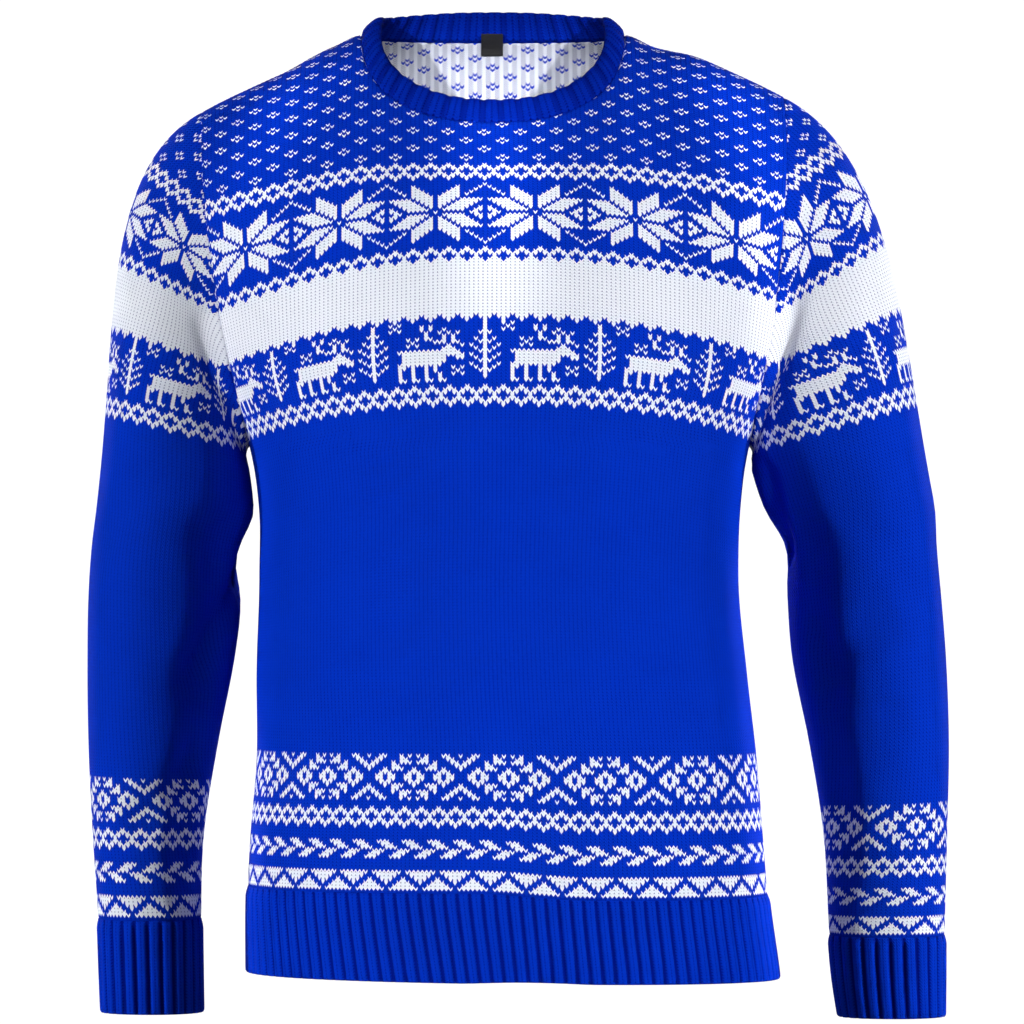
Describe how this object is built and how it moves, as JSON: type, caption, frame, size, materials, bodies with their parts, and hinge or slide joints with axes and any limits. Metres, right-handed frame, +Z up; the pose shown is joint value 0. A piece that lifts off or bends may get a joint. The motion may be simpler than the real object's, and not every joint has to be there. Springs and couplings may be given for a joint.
{
  "type": "christmas sweater",
  "caption": "Hollow crew-neck knitted jumper in its worn form, with long set-in sleeves, ribbed neckband, cuffs and hem, and bands of traditional winter motifs",
  "frame": {"origin": "centre of the neck opening, level with the inner ends of the shoulder seams, where the wearer's neck comes through", "axes": "+Z up the wearer, -Y the front, +X the wearer's left side"},
  "size_m": [0.6114, 0.2434, 0.7164],
  "materials": {
    "knit": "royal blue and white stranded knit, soft matt yarn",
    "rib": "royal blue one-by-one rib, soft matt yarn",
    "label": "plain black woven tab"
  },
  "bodies": {
    "root": {"front": "knit", "back": "knit", "sleeve_left": "knit", "sleeve_right": "knit", "neckband": "rib", "hem_rib": "rib", "cuff_left": "rib", "cuff_right": "rib", "neck_label": "label"}
  },
  "joints": []
}
